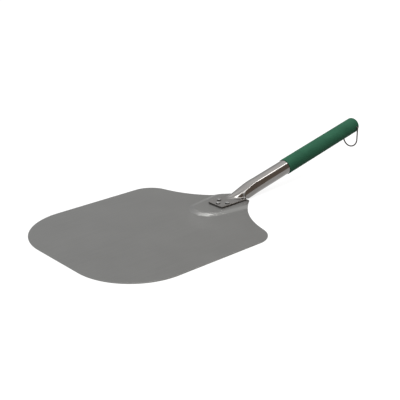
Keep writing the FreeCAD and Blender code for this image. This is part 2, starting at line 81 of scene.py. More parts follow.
BOSS_RISE = BLADE_HIGH.z - GAUGE
BOSS_X = 143.8 * MM
BOSS_FOOT = 35.5 * MM
BOSS_CROWN = 22.5 * MM
BOSS_FLARE = math.radians(9)

PITCH = math.radians(12.3)
AXIS_HEIGHT = PIVOT.z - (PIVOT.x - NECK_END) * math.tan(PITCH)
TUBE_RADIUS = 13 * MM
TUBE_WALL = 1.2 * MM
TUBE_LENGTH = 299.2 * MM
TAB_FRONT = TUBE_LOW.x
TAB_HALF = TUBE_HIGH.y
TAB_CORNER = 3.5 * MM
TAB_SEAT = BLADE_HIGH.z
TAB_TOP = TAB_SEAT + 2 * TUBE_WALL
TAB_EDGE = 0.25 * MM
RIM_SQUARENESS = 2.2
HAIRLINE = 0.01 * MM

# The pressed ramp: a gentle toe, the steeper slope and a crease along it.
TOE_X = 190 * MM
TOE_PITCH = math.radians(20.5)
TOE_BEND = 3 * MM
CRUSH_X = 199 * MM
RAMP_PITCH = math.radians(29.5)
RAMP_EDGE = 6 * MM
CREASE_DEPTH = 1.45 * MM
CREASE_HALF = 2.3 * MM
CREASE_X = 205.5 * MM
CREASE_SLANT = -0.3
CREASE_START = 5 * MM
CREASE_END = 226 * MM
CREASE_FADE = 20 * MM

# The barrel sags and squares up between CRUSH_REACH and the step.
SAG = 6 * MM
SHOULDER_POWER = 0.8
SAG_RUN = 46 * MM
CRUSH_REACH = 48.5 * MM

# The nose's right side has a facet, a wall that leans back and a step out to
# the barrel; its left side is upright.
STEP_X = 210.5 * MM
STEP_RUN = 6.5 * MM
STEP_DEPTH = 4.4 * MM
NOSE_RIGHT = 9.3 * MM
NOSE_TAPER = 0.3
WALL_LEAN = math.radians(19)
WALL_END = 219 * MM
WALL_TAPER = 0.15
NOSE_LEFT = 13.4 * MM
FACET_PITCH = math.radians(38)
FACET_LINE = 3.9 * MM
FACET_SPLAY = 0.3
NOSE_EDGE = 1.4 * MM
WALL_EDGE = 3 * MM
NOSE_FILLET = 1.5 * MM

# The tab narrows to a flange beside the nose and ends under the barrel. Past
# the neck the press's table drops from the tab's seat to just above the floor.
FLANGE_X = 211 * MM
FLANGE_RUN = 6 * MM
FLANGE_END = 230 * MM
FLANGE_HALF = 9 * MM
TABLE_GAP = 0.35 * MM
BELLY_LEAD = 1 * MM
BELLY_RUN = 9 * MM
BELLY_EDGE = 3 * MM

# How the skin of the crushed end is found: points in a ring, rays cast to
# find them, how far a ray looks, and how much a bend draws points to it.
RING = 192
RAYS = 1440
FAR_OUT = 24 * MM
HALVINGS = 32
BEND_WEIGHT = 2.5 * MM
FAN_HEIGHT = 3 * MM
CENTRE_X = CRUSH_X + 6 * MM
CENTRE_RUN = 30 * MM
HOLLOW_X = CRUSH_X + 28 * MM
BEFORE_TOE = 3 * MM

GRIP_START = 110.7 * MM
GRIP_LENGTH = 196.5 * MM
GRIP_RADIUS = 14 * MM
GRIP_CORNER = 7 * MM
GRIP_CROWN = 20 * MM
GRIP_LIP = 0.4 * MM
EYE_RADIUS = 2.3 * MM

WIRE_RADIUS = 1.25 * MM
LEG_SPREAD = 15.6 * MM
LEG_DROP = 23.5 * MM
ELBOW = 2 * MM
PIN_TIP = 9.8 * MM
PIN_HOLE = 1.32 * MM

RIVET_SHANK = 2 * MM
RIVET_TAIL = 3.2 * MM
RIVET_TAIL_RIM = 0.35 * MM
RIVET_BELLY = 0.4
RIVET_SIDE = 0.7
RIVET_CROWN = 0.8
RIVET_UNDERCUT = math.radians(38)
RIVETS = {}
for rivet_node in ("rivet_front", "rivet_left", "rivet_right"):
    rivet_low, rivet_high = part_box(rivet_node)
    RIVETS[rivet_node] = ((rivet_low + rivet_high) / 2).to_2d()


def along_handle(reach, offset=Vector()):
    """A point given by its distance up the handle's axis from above the
    neck's end, then by an offset in the handle's own frame."""
    root = Vector((NECK_END, 0, AXIS_HEIGHT))
    return root + Matrix.Rotation(-PITCH, 3, "Y") @ (Vector((reach, 0, 0)) + offset)


def blend(start, end, share):
    return start + (end - start) * share


def ease(share):
    """0 to 1 with a flat start and a flat end, for a number or an array."""
    share = np.clip(share, 0.0, 1.0)
    return share * share * (3 - 2 * share)


# --------------------------------------------------------------- mesh helpers
def add_object(name, data):
    """Puts a mesh, a light or a camera into the scene."""
    made = bpy.data.objects.new(name, data)
    bpy.context.scene.collection.objects.link(made)
    return made


def add_solid(name, verts, faces):
    """A mesh object with doubled points joined and its faces turned outwards."""
    mesh = bpy.data.meshes.new(name)
    mesh.from_pydata([tuple(v) for v in verts], [], faces)
    work = bmesh.new()
    work.from_mesh(mesh)
    bmesh.ops.remove_doubles(work, verts=work.verts, dist=SAME_POINT)
    bmesh.ops.recalc_face_normals(work, faces=work.faces)
    work.to_mesh(mesh)
    work.free()
    return add_object(name, mesh)


def make_piece(name, verts, faces, body, node):
    """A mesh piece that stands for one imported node."""
    piece = add_solid(name, verts, faces)
    finish_shading(piece)
    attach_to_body(piece, body)
    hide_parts(node)
    return piece


def finish_shading(piece):
    """Smooth faces, with the real edges kept crisp."""
    mesh = piece.data
    mesh.polygons.foreach_set("use_smooth", [True] * len(mesh.polygons))
    mesh.set_sharp_from_angle(angle=SHARP_EDGE)


def skin(rings, closed=True):
    """Quads between rings of equal length, joined end to end when closed."""
    count = len(rings[0])
    verts = [point for ring in rings for point in ring]
    faces = []
    for row in range(len(rings) - 1):
        for k in range(count if closed else count - 1):
            here, there = row * count, (row + 1) * count
            after = (k + 1) % count
            faces.append((here + k, here + after, there + after, there + k))
    return verts, faces


def attach(verts, faces, added_verts, added_faces):
    """Adds one set of points and faces to the end of another."""
    faces += [tuple(k + len(verts) for k in face) for face in added_faces]
    verts += added_verts


def lathe(profile, place, segments):
    """Turns (radius, height) points about the placed Z axis. A radius of 0
    closes the end with a fan."""
    rings = []
    for radius, height in profile:
        ring = []
        for k in range(segments):
            turn = 2 * math.pi * k / segments
            ring.append(place @ Vector((radius * math.cos(turn), radius * math.sin(turn), height)))
        rings.append(ring)
    return skin(rings)


def bore(piece, tool_verts, tool_faces):
    """Cuts a closed shape out of a piece."""
    tool = add_solid("bore", tool_verts, tool_faces)
    modifier = piece.modifiers.new("bore", "BOOLEAN")
    modifier.operation = "DIFFERENCE"
    modifier.solver = "EXACT"
    modifier.object = tool
    bpy.context.view_layer.update()
    graph = bpy.context.evaluated_depsgraph_get()
    result = bpy.data.meshes.new_from_object(piece.evaluated_get(graph))
    piece.modifiers.clear()
    piece.data = result
    bpy.data.objects.remove(tool)
    finish_shading(piece)


# --------------------------------------------------------------------- blade
def arc_points(centre, radius, first, last, step=math.radians(2.5)):
    """Points along an arc, both ends included; the angles are in radians."""
    count = max(2, round(abs(last - first) / step))
    points = []
    for k in range(count + 1):
        turn = blend(first, last, k / count)
        points.append((centre[0] + radius * math.cos(turn), centre[1] + radius * math.sin(turn)))
    return points


def half_outline(inset):
    """The blade's left edge from the front to the neck's end, moved inwards
    by the inset: arcs about the same centres, joined by their tangents."""
    front = BLADE_FRONT + FRONT_CORNER
    rear_centre = (REAR_CORNER_X, HALF_BLADE - REAR_CORNER)
    gap_x = SHOULDER_CENTRE[0] - rear_centre[0]
    gap_y = SHOULDER_CENTRE[1] - rear_centre[1]
    lean = math.acos((REAR_CORNER + SHOULDER_RADIUS) / math.hypot(gap_x, gap_y))
    slant = math.atan2(gap_y, gap_x) + lean
    corner_x = NECK_END - NECK_CORNER
    drop = math.sqrt((SHOULDER_RADIUS + NECK_CORNER) ** 2 - (SHOULDER_CENTRE[0] - corner_x) ** 2)
    corner_y = SHOULDER_CENTRE[1] - drop
    turn = math.atan2(drop, SHOULDER_CENTRE[0] - corner_x)
    points = arc_points((front, HALF_BLADE - FRONT_CORNER), FRONT_CORNER - inset, math.pi, math.pi / 2)
    points += arc_points(rear_centre, REAR_CORNER - inset, math.pi / 2, slant)
    points += arc_points(SHOULDER_CENTRE, SHOULDER_RADIUS + inset, slant + math.pi, turn + math.pi)
    points += arc_points((corner_x, corner_y), NECK_CORNER - inset, turn, 0, math.radians(8))[1:]
    return points


def outline(inset):
    left = half_outline(inset)
    return left + [(x, -y) for x, y in reversed(left)]


def boss_offset(x, y):
    """How far a point lies from the boss's spine, along the pressing."""
    across = abs(y)
    along = x - BOSS_X
    if along * math.cos(BOSS_FLARE) + across * math.sin(BOSS_FLARE) > 0:
        return across * math.cos(BOSS_FLARE) - along * math.sin(BOSS_FLARE)
    return math.hypot(along, across)


def boss_height(x, y):
    """The pressing: a flat crown whose side rolls down in an S to the sheet."""
    return BOSS_RISE * ease((BOSS_FOOT - boss_offset(x, y)) / (BOSS_FOOT - BOSS_CROWN))


def sheet_samples(inner):
    """Points inside the outline: close together over the pressing's side,
    wide apart on the flat."""
    spacing = 9 * MM
    stride = 2.2 * MM
    strides = 45
    rim = 1.2 * MM
    levels = 14
    steps = 44
    samples = []
    columns = int((NECK_END - BLADE_FRONT) / spacing)
    rows = int(HALF_BLADE / spacing)
    for i in range(1, columns):
        for j in range(-rows, rows + 1):
            samples.append((BLADE_FRONT + i * spacing, (j + (i % 2) / 2) * spacing))
    middle = (BOSS_FOOT + BOSS_CROWN) / 2
    reach = (BOSS_FOOT - BOSS_CROWN) / 2 + 3 * rim
    fine = [s for s in samples if abs(boss_offset(*s) - middle) > reach]
    for level in range(-1, levels + 2):
        radius = blend(BOSS_CROWN, BOSS_FOOT, level / levels)
        turn_end = math.pi / 2 + BOSS_FLARE
        for k in range(-steps, steps + 1):
            turn = math.pi - (math.pi - turn_end) * k / steps
            fine.append((BOSS_X + radius * math.cos(turn), radius * math.sin(turn)))
        touch = (BOSS_X - radius * math.sin(BOSS_FLARE), radius * math.cos(BOSS_FLARE))
        for k in range(1, strides + 1):
            x = touch[0] + k * stride
            y = touch[1] + k * stride * math.tan(BOSS_FLARE)
            fine += [(x, y), (x, -y)]
    return [s for s in fine if inside(s, inner, rim)]


def inside(point, loop, margin):
    """Whether a point is within a loop and at least the margin from it."""
    x, y = point
    within = False
    for (ax, ay), (bx, by) in zip(loop, loop[1:] + loop[:1]):
        if (ay > y) != (by > y) and x < ax + (y - ay) / (by - ay) * (bx - ax):
            within = not within
        edge_x, edge_y = bx - ax, by - ay
        share = ((x - ax) * edge_x + (y - ay) * edge_y) / (edge_x**2 + edge_y**2)
        share = min(max(share, 0.0), 1.0)
        if math.hypot(x - ax - share * edge_x, y - ay - share * edge_y) < margin:
            return False
    return within


def circle(centre, radius, count):
    return [(centre[0] + radius * math.cos(2 * math.pi * k / count),
             centre[1] + radius * math.sin(2 * math.pi * k / count)) for k in range(count)]


def clear_of_rivets(point, distance):
    return all(math.dist(point, place) > distance for place in RIVETS.values())


def sheet_triangles(inner, holes):
    """Points over the sheet's flat face and the triangles between them, with
    the rivets' holes left open."""
    samples = [s for s in sheet_samples(inner) if clear_of_rivets(s, 1.4 * RIVET_SHANK)]
    flat = inner + [p for hole in holes for p in hole] + samples
    edges = [(k, (k + 1) % len(inner)) for k in range(len(inner))]
    start = len(inner)
    for hole in holes:
        edges += [(start + k, start + (k + 1) % len(hole)) for k in range(len(hole))]
        start += len(hole)
    points, _, triangles, _, _, _ = delaunay_2d_cdt([Vector(p) for p in flat], edges, [], 1, 1e-7)

    def solid(triangle):
        middle = sum((points[k] for k in triangle), Vector((0, 0))) / 3
        return clear_of_rivets(middle, RIVET_SHANK) and inside(middle, inner, 0)

    return points, [tuple(t) for t in triangles if solid(t)]


def on_sheet(points, height):
    """Points at a height above the sheet's underside."""
    return [(x, y, boss_height(x, y) + height) for x, y in points]


def make_blade():
    """One sheet of even gauge: its top and underside share their points, and
    its edge is broken all the way round."""
    bends = 4
    inner = outline(EDGE_ROUNDING)
    holes = [circle(place, RIVET_SHANK, 32) for place in RIVETS.values()]
    points, triangles = sheet_triangles(inner, holes)
    verts = on_sheet(points, GAUGE) + on_sheet(points, 0)
    faces = triangles + [tuple(k + len(points) for k in reversed(t)) for t in triangles]
    top_edge, low_edge = [], []
    for k in range(bends + 1):
        turn = math.pi / 2 * k / bends
        ring = outline(EDGE_ROUNDING * (1 - math.cos(turn)))
        drop = EDGE_ROUNDING * (1 - math.sin(turn))
        top_edge.append(on_sheet(ring, GAUGE - drop))
        low_edge.append(on_sheet(ring, drop))
    attach(verts, faces, *skin(top_edge[::-1] + low_edge))
    for hole in holes:
        attach(verts, faces, *skin([on_sheet(hole, GAUGE), on_sheet(hole, 0)]))
    piece = make_piece("blade_sheet", verts, faces, PEEL, "blade")
    weigh_normals(piece)
    return piece


def weigh_normals(piece):
    """Lets the large flat faces keep their own direction in the shading."""
    modifier = piece.modifiers.new("flat_faces", "WEIGHTED_NORMAL")
    modifier.keep_sharp = True
    modifier.weight = 100


# -------------------------------------------------------------------- rivets
def make_rivet(node, place):
    """A low button head that rolls under at its foot, its shank and a tail
    set under the boss."""
    low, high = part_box(node)
    head_radius = high.x - place[0]
    seat = TAB_TOP
    widest = seat + RIVET_BELLY * (high.z - seat)
    crown = high.z - widest
    steps = 14
    profile = [(0, high.z)]
    for k in range(1, steps + 1):
        turn = math.pi / 2 * k / steps
        profile.append((head_radius * math.sin(turn) ** RIVET_SIDE,
                        widest + crown * math.cos(turn) ** RIVET_CROWN))
    under_steps = steps // 2
    for k in range(1, under_steps + 1):
        share = k / under_steps
        profile.append((head_radius * math.cos(RIVET_UNDERCUT * share), blend(widest, seat, share)))
    profile += [(RIVET_SHANK, seat), (RIVET_SHANK, BOSS_RISE),
                (RIVET_TAIL - RIVET_TAIL_RIM, BOSS_RISE), (RIVET_TAIL, BOSS_RISE - RIVET_TAIL_RIM),
                (RIVET_TAIL, low.z + RIVET_TAIL_RIM), (RIVET_TAIL - RIVET_TAIL_RIM, low.z), (0, low.z)]
    verts, faces = lathe(profile, Matrix.Translation((place[0], place[1], 0)), 64)
    return make_piece(f"{node}_set", verts, faces, PEEL, node)


# ---------------------------------------------------------------- handle tube
def smooth_least(first, second, radius):
    """The smaller of two depths, with a fillet where they cross."""
    share = np.clip(0.5 + 0.5 * (second - first) / radius, 0.0, 1.0)
    return second + (first - second) * share - radius * share * (1 - share)


def smooth_most(first, second, radius):
    """The larger of two depths, with a rounded edge where they cross."""
    return -smooth_least(-first, -second, radius)


def axis_height(x):
    """The height of the handle's axis above the floor."""
    return AXIS_HEIGHT + (x - NECK_END) * math.tan(PITCH)


def ramp_level(x):
    """The height of the pressed ramp: a gentle toe, then the steeper slope."""
    toe = TAB_TOP + (x - TOE_X) * math.tan(TOE_PITCH)
    slope = TAB_TOP + (x - CRUSH_X) * math.tan(RAMP_PITCH)
    return smooth_most(toe, slope, TOE_BEND)


def ramp_depth(x, y, z):
    """How far a point is above the ramp, which has a crease pressed along its
    middle."""
    middle = (x - CREASE_X) * CREASE_SLANT
    crease = CREASE_DEPTH * np.exp(-((y - middle) / CREASE_HALF) ** 2)
    crease = crease * ease((x - TOE_X) / CREASE_START)
    crease = crease * ease((CREASE_END - x) / CREASE_FADE)
    return (z - ramp_level(x) + crease) * math.cos(RAMP_PITCH)


def barrel_depth(x, y, z):
    """How far a point is outside the barrel, which sags and squares up towards
    the press."""
    crushed = 1 - ease((x - STEP_X) / SAG_RUN)
    rise = (z - axis_height(x) + SAG * crushed) * math.cos(PITCH)
    rise = rise / (1 + np.sign(rise) * crushed * SAG / TUBE_RADIUS)
    power = np.where(rise > 0, 2 + SHOULDER_POWER * crushed, 2.0)
    return (np.abs(y) ** power + np.abs(rise) ** power) ** (1 / power) - TUBE_RADIUS


def press_sides(body, x, y, z):
    """Cuts a body by the press's sides: the facet and the stepped, leaning
    wall on the right, and the upright side on the left."""
    stepped = ease((x - STEP_X) / STEP_RUN)
    right = NOSE_RIGHT + STEP_DEPTH * stepped
    right = right + WALL_TAPER * np.maximum(x - WALL_END, 0.0)
    right = right - NOSE_TAPER * np.maximum(STEP_X - x, 0.0)
    past_line = -y - FACET_LINE - FACET_SPLAY * (x - STEP_X)
    facet = (z - ramp_level(x)) * math.cos(FACET_PITCH) + past_line * math.sin(FACET_PITCH)
    wall = (-y - right) * math.cos(WALL_LEAN) + (z - TAB_TOP) * math.sin(WALL_LEAN)
    body = smooth_most(body, facet, NOSE_EDGE)
    body = smooth_most(body, wall, blend(NOSE_EDGE, WALL_EDGE, stepped))
    return smooth_most(body, y - NOSE_LEFT, NOSE_EDGE)


def tab_depth(x, y, z):
    """How far a point is outside the flat tab, with its round front corners
    and its flange."""
    half = TAB_HALF - (TAB_HALF - FLANGE_HALF) * ease((x - FLANGE_X) / FLANGE_RUN)
    back = np.maximum(TAB_FRONT + TAB_CORNER - x, 0.0)
    half = half - TAB_CORNER + np.sqrt(np.maximum(TAB_CORNER**2 - back**2, 0.0))
    past_rim = RIM_SQUARENESS * np.maximum(np.abs(y) - half + TUBE_WALL / RIM_SQUARENESS, 0.0)
    slab = np.hypot(past_rim, z - TAB_SEAT - TUBE_WALL) - TUBE_WALL
    return np.maximum(slab, x - FLANGE_END)


def tube_depth(x, y, z):
    """How far a point is outside the tube's skin: the barrel, cut by the ramp
    above, the press's sides and the table below, and run into the tab."""
    body = smooth_most(barrel_depth(x, y, z), ramp_depth(x, y, z), RAMP_EDGE)
    body = press_sides(body, x, y, z)
    table = blend(TAB_SEAT, TABLE_GAP, ease((x - NECK_END - BELLY_LEAD) / BELLY_RUN)) - z
    belly_edge = BELLY_EDGE * ease((x - NECK_END) / BELLY_RUN) + HAIRLINE
    body = smooth_most(body, table, belly_edge)
    return np.maximum(smooth_least(body, tab_depth(x, y, z), NOSE_FILLET), table)


def fan_start(x, level):
    """The height that a ring's rays start from: the tab's middle, rising to
    the axis. The inner skin has no tab, so its rays start under the ramp."""
    low_centre = TAB_SEAT + TUBE_WALL
    if level < -TUBE_WALL / 2:
        low_centre = (TAB_SEAT + ramp_level(x)) / 2
    return blend(low_centre, axis_height(x), ease((x - CENTRE_X) / CENTRE_RUN))


def cast_rays(depth_at):
    """Where a fan of rays leaves the skin, found by halving. The rays point at
    places round a flat ellipse, so that the thin tab gets its share of them."""
    turns = np.linspace(0.0, 2 * math.pi, RAYS + 1)
    across = TAB_HALF * np.sin(turns)
    upward = FAN_HEIGHT * np.cos(turns)
    length = np.hypot(across, upward)
    across, upward = across / length, upward / length
    near, far = np.zeros(RAYS + 1), np.full(RAYS + 1, FAR_OUT)
    for _ in range(HALVINGS):
        middle = (near + far) / 2
        under_skin = depth_at(middle * across, middle * upward) < 0
        near = np.where(under_skin, middle, near)
        far = np.where(under_skin, far, middle)
    return near * across, near * upward


def space_by_bends(across, upward):
    """Picks a ring's points from a closed line, closer together at its bends."""
    runs = np.hypot(np.diff(across), np.diff(upward))
    heading = np.unwrap(np.arctan2(np.diff(upward), np.diff(across)))
    bends = np.abs(np.diff(heading, append=heading[0] - 2 * math.pi))
    walked = np.concatenate([[0.0], np.cumsum(runs + BEND_WEIGHT * (bends + np.roll(bends, 1)) / 2)])
    stops = np.linspace(0.0, walked[-1], RING + 1)[:-1]
    return np.interp(stops, walked, across), np.interp(stops, walked, upward)


def crush_ring(x, level=0.0):
    """A ring of points where the skin, moved outwards by the level, crosses a
    plane that turns with the handle."""
    barrel_x = along_handle(CRUSH_REACH).x
    tilt = PITCH * ease((x - NECK_END) / (barrel_x - NECK_END))
    height = fan_start(x, level)

    def on_plane(across, upward):
        return x - upward * math.sin(tilt), across, height + upward * math.cos(tilt)

    across, upward = cast_rays(lambda a, u: tube_depth(*on_plane(a, u)) - level)
    return [Vector(on_plane(a, u)) for a, u in zip(*space_by_bends(across, upward))]


def barrel_ring(reach, radius):
    """A round section of the tube, its points in the same order."""
    points = []
    for k in range(RING):
        turn = 2 * math.pi * k / RING
        points.append(along_handle(reach, Vector((0, radius * math.sin(turn), radius * math.cos(turn)))))
    return points


def cap_rows(ring, groove):
    """Rows that close a flat end with the line where the two walls meet."""
    half = len(ring) // 2
    seam = 0.08
    above = [ring[k % RING] for k in range(-half // 2, half // 2 + 1)]
    below = [ring[(half - k) % RING] for k in range(-half // 2, half // 2 + 1)]
    rows = [above]
    for share, depth in ((0.5 - seam, 0.0), (0.5, groove), (0.5 + seam, 0.0)):
        row = []
        for up, down in zip(above, below):
            point = up.lerp(down, share)
            point.x += depth
            row.append(point)
        rows.append(row)
    rows.append(below)
    return rows


def tab_stations():
    """Places for rings along the tab: fine round its front corners, then
    evenly spaced to just before the toe."""
    corner_steps = 10
    stations = []
    for k in range(corner_steps + 1):
        turn = math.pi / 2 * k / corner_steps
        stations.append(TAB_FRONT + TAB_EDGE + (TAB_CORNER - TAB_EDGE) * (1 - math.cos(turn)))
    spacing = 2 * MM
    gap = 0.5 * MM
    while stations[-1] < TOE_X - BEFORE_TOE - gap:
        stations.append(stations[-1] + spacing)
    return stations


def press_stations():
    """Places for rings from the toe past the step, then up to the barrel."""
    steps = 70
    start = TOE_X - BEFORE_TOE
    step_end = STEP_X + 9 * MM
    barrel_start = along_handle(CRUSH_REACH).x - 0.4 * MM
    stations = [blend(start, step_end, k / steps) for k in range(steps)]
    return stations + [blend(step_end, barrel_start, k / steps) for k in range(steps + 1)]


def make_tube():
    """One tube: a hollow barrel that runs into its crushed, riveted end."""
    barrel_steps = 60
    seam_groove = 0.3 * MM
    pressed = press_stations()
    reaches = [blend(CRUSH_REACH, TUBE_LENGTH, k / barrel_steps) for k in range(barrel_steps + 1)]
    outer = [crush_ring(TAB_FRONT, -TAB_EDGE)] + [crush_ring(x) for x in tab_stations() + pressed]
    outer += [barrel_ring(r, TUBE_RADIUS) for r in reaches]
    inner = [crush_ring(x, -TUBE_WALL) for x in pressed if x > HOLLOW_X]
    inner += [barrel_ring(r, TUBE_RADIUS - TUBE_WALL) for r in reaches]
    verts, faces = skin(outer + list(reversed(inner)))
    for ring, groove in ((outer[0], seam_groove), (inner[0], 0.0)):
        attach(verts, faces, *skin(cap_rows(ring, groove), closed=False))
    piece = make_piece("handle_tube_metal", verts, faces, PEEL, "handle_tube")
    half = 2 * TUBE_RADIUS
    hole = [(0, -half), (PIN_HOLE, -half), (PIN_HOLE, half), (0, half)]
    bore(piece, *lathe(hole, ACROSS_PIVOT, BORE_SEGMENTS))
    drill = [(0, 0), (RIVET_SHANK, 0), (RIVET_SHANK, 2 * TAB_SEAT), (0, 2 * TAB_SEAT)]
    for place in RIVETS.values():
        bore(piece, *lathe(drill, Matrix.Translation((*place, 0)), BORE_SEGMENTS))
    return piece


# ---------------------------------------------------------------- grip sleeve
def make_grip():
    """A moulded sleeve with a rounded mouth, a domed closed end and an eye
    on each side for the wire."""
    end = GRIP_START + GRIP_LENGTH
    crown_centre = end - GRIP_CROWN
    corner_height = GRIP_RADIUS - GRIP_CORNER
    corner_reach = crown_centre + math.sqrt((GRIP_CROWN - GRIP_CORNER) ** 2 - corner_height**2)
    turn = math.asin(corner_height / (GRIP_CROWN - GRIP_CORNER))
    profile = [(0, TUBE_LENGTH), (TUBE_RADIUS, TUBE_LENGTH), (TUBE_RADIUS, GRIP_START)]
    lip_steps = 4
    for k in range(lip_steps + 1):
        lip = math.pi / 2 * k / lip_steps
        profile.append((GRIP_RADIUS - GRIP_LIP * (1 - math.sin(lip)),
                        GRIP_START + GRIP_LIP * (1 - math.cos(lip))))
    body_steps = 48
    for k in range(1, body_steps):
        profile.append((GRIP_RADIUS, blend(GRIP_START + GRIP_LIP, corner_reach, k / body_steps)))
    profile += [(corner_height + r, z) for z, r in
                arc_points((corner_reach, 0), GRIP_CORNER, math.pi / 2, turn, math.radians(6))]
    profile += [(r, z) for z, r in
                arc_points((crown_centre, 0), GRIP_CROWN, turn, 0, math.radians(3))[1:]]
    root = along_handle(0)
    place = Matrix.Translation(root) @ Matrix.Rotation(math.pi / 2 - PITCH, 4, "Y")
    verts, faces = lathe(profile, place, 128)
    piece = make_piece("grip_moulding", verts, faces, PEEL, "grip_sleeve")
    reach = 2 * GRIP_RADIUS
    flare = 0.45 * MM
    flare_start = GRIP_RADIUS - flare
    wide = EYE_RADIUS + 2 * flare
    eye = [(0, -reach), (wide, -reach), (wide, -GRIP_RADIUS - flare), (EYE_RADIUS, -flare_start),
           (EYE_RADIUS, flare_start), (wide, GRIP_RADIUS + flare), (wide, reach), (0, reach)]
    bore(piece, *lathe(eye, ACROSS_PIVOT, BORE_SEGMENTS))
    return piece


# --------------------------------------------------------------- hanging loop
def wire_path():
    """Centre points of the wire from one pin tip to the other, each with the
    outward side of its bend, in the plane across the peel."""
    shoulder = LEG_SPREAD - ELBOW
    path = [(PIN_TIP, 0.0)]
    path += arc_points((shoulder, -ELBOW), ELBOW, math.pi / 2, 0, math.radians(10))
    leg_steps = 10
    for k in range(1, leg_steps):
        path.append((LEG_SPREAD, blend(-ELBOW, -LEG_DROP, k / leg_steps)))
    bow = arc_points((0, -LEG_DROP), LEG_SPREAD, 0, -math.pi, math.radians(4))
    path += bow
    half = path[: len(path) - len(bow)]
    return path + [(-y, z) for y, z in reversed(half)]


def make_loop():
    """Stiff round wire, bent to a U, with its ends turned in."""
    path = wire_path()
    segments = 28
    tip = 0.3 * MM
    rings = []
    for k, (y, z) in enumerate(path):
        before = path[max(k - 1, 0)]
        after = path[min(k + 1, len(path) - 1)]
        along = Vector((0, after[0] - before[0], after[1] - before[1])).normalized()
        side = Vector((1, 0, 0)).cross(along)
        centre = PIVOT + Vector((0, y, z))
        widths = ((WIRE_RADIUS, 0.0),)
        if k in (0, len(path) - 1):
            widths = ((0.0, 0.0), (WIRE_RADIUS - tip, 0.0), (WIRE_RADIUS, tip))
        inward = along if k == 0 else -along
        made = []
        for radius, step in widths:
            ring = []
            for s in range(segments):
                turn = 2 * math.pi * s / segments
                offset = Vector((1, 0, 0)) * math.cos(turn) + side * math.sin(turn)
                ring.append(centre + inward * step + offset * radius)
            made.append(ring)
        rings += made if k == 0 else list(reversed(made))
    verts, faces = skin(rings)
    return make_piece("loop_wire_bent", verts, faces, LOOP, "hanging_loop")


# ----------------------------------------------------------------- materials
def shader(tree, kind, settings=None, inputs=None):
    """Adds one node. An input takes a value or another node's output."""
    made = tree.nodes.new(kind)
    for key, value in (settings or {}).items():
        setattr(made, key, value)
    for key, value in (inputs or {}).items():
        if isinstance(value, bpy.types.NodeSocket):
            tree.links.new(value, made.inputs[key])
        else:
            made.inputs[key].default_value = value
    return made


def new_material(name):
    """An empty material with a Principled surface, and its coordinates."""
    material = bpy.data.materials.new(name)
    material.use_nodes = True
    tree = material.node_tree
    tree.nodes.clear()
    surface = shader(tree, "ShaderNodeBsdfPrincipled")
    output = shader(tree, "ShaderNodeOutputMaterial")
    tree.links.new(surface.outputs["BSDF"], output.inputs["Surface"])
    place = shader(tree, "ShaderNodeTexCoord").outputs["Object"]
    return material, tree, surface, place


def grain(tree, place, turn, scale, detail=3.0, roughness=0.55):
    """Noise in its own turned and stretched space, from 0 to 1."""
    mapping = shader(tree, "ShaderNodeMapping", inputs={
        "Vector": place, "Rotation": turn, "Scale": scale})
    noise = shader(tree, "ShaderNodeTexNoise", inputs={
        "Vector": mapping.outputs["Vector"], "Scale": 1.0, "Detail": detail, "Roughness": roughness})
    return noise.outputs["Fac"]


def spread(tree, value, low, high, start=0.3, end=0.7):
    """Stretches a noise value over a range."""
    return shader(tree, "ShaderNodeMapRange", inputs={
        "Value": value, "From Min": start, "From Max": end,
        "To Min": low, "To Max": high}).outputs["Result"]


def smooth_range(tree, value, start, end):
    """0 below the start, 1 above the end, with a soft change between."""
    return shader(tree, "ShaderNodeMapRange", {"interpolation_type": "SMOOTHSTEP"}, {
        "Value": value, "From Min": start, "From Max": end}).outputs["Result"]


def tint(tree, share, first, second):
    """A colour between two, by a share. A colour may be a node's output. The
    Mix node's colour sockets are 0, 6 and 7, and its colour result is 2."""
    colours = [c if isinstance(c, bpy.types.NodeSocket) else (*c, 1.0) for c in (first, second)]
    return shader(tree, "ShaderNodeMix", {"data_type": "RGBA"}, {
        0: share, 6: colours[0], 7: colours[1]}).outputs[2]


def bump(tree, height, distance, strength):
    """A surface direction that a height pattern tips."""
    return shader(tree, "ShaderNodeBump", inputs={
        "Height": height, "Distance": distance, "Strength": strength}).outputs["Normal"]


def put(tree, surface, **values):
    """Sets the surface's inputs; a name's underscores are spaces."""
    for key, value in values.items():
        socket = surface.inputs[key.replace("_", " ")]
        if isinstance(value, bpy.types.NodeSocket):
            tree.links.new(value, socket)
        else:
            socket.default_value = value


LEVEL = (0.0, 0.0, 0.0)
UP_THE_HANDLE = (0.0, PITCH, 0.0)


def blade_material():
    """Satin rolled aluminium: faint lengthwise grain, soft cloudy patches."""
    material, tree, surface, place = new_material("satin_sheet")
    lines = grain(tree, place, LEVEL, (9, 420, 60), 2.0, 0.5)
    clouds = grain(tree, place, LEVEL, (14, 14, 14), 3.0)
    tone = shader(tree, "ShaderNodeMath", {"operation": "ADD"}, {
        0: spread(tree, lines, 0.0, 0.45), 1: spread(tree, clouds, 0.0, 0.55)}).outputs[0]
    put(tree, surface, Metallic=1.0,
        Base_Color=tint(tree, tone, (0.173, 0.172, 0.166), (0.195, 0.194, 0.188)),
        Roughness=spread(tree, clouds, 0.285, 0.33),
        Normal=bump(tree, lines, 0.004 * MM, 0.3))
    return material


def tube_material():
    """Polished steel with fine marks along the tube and faint smudges."""
    material, tree, surface, place = new_material("polished_tube")
    lines = grain(tree, place, UP_THE_HANDLE, (12, 900, 900), 3.0, 0.6)
    smudges = grain(tree, place, UP_THE_HANDLE, (35, 60, 60), 3.0)
    put(tree, surface, Metallic=1.0,
        Base_Color=tint(tree, spread(tree, smudges, 0.0, 1.0),
                        (0.185, 0.177, 0.170), (0.215, 0.207, 0.200)),
        Roughness=spread(tree, smudges, 0.09, 0.16),
        Normal=bump(tree, lines, 0.003 * MM, 0.12))
    return material


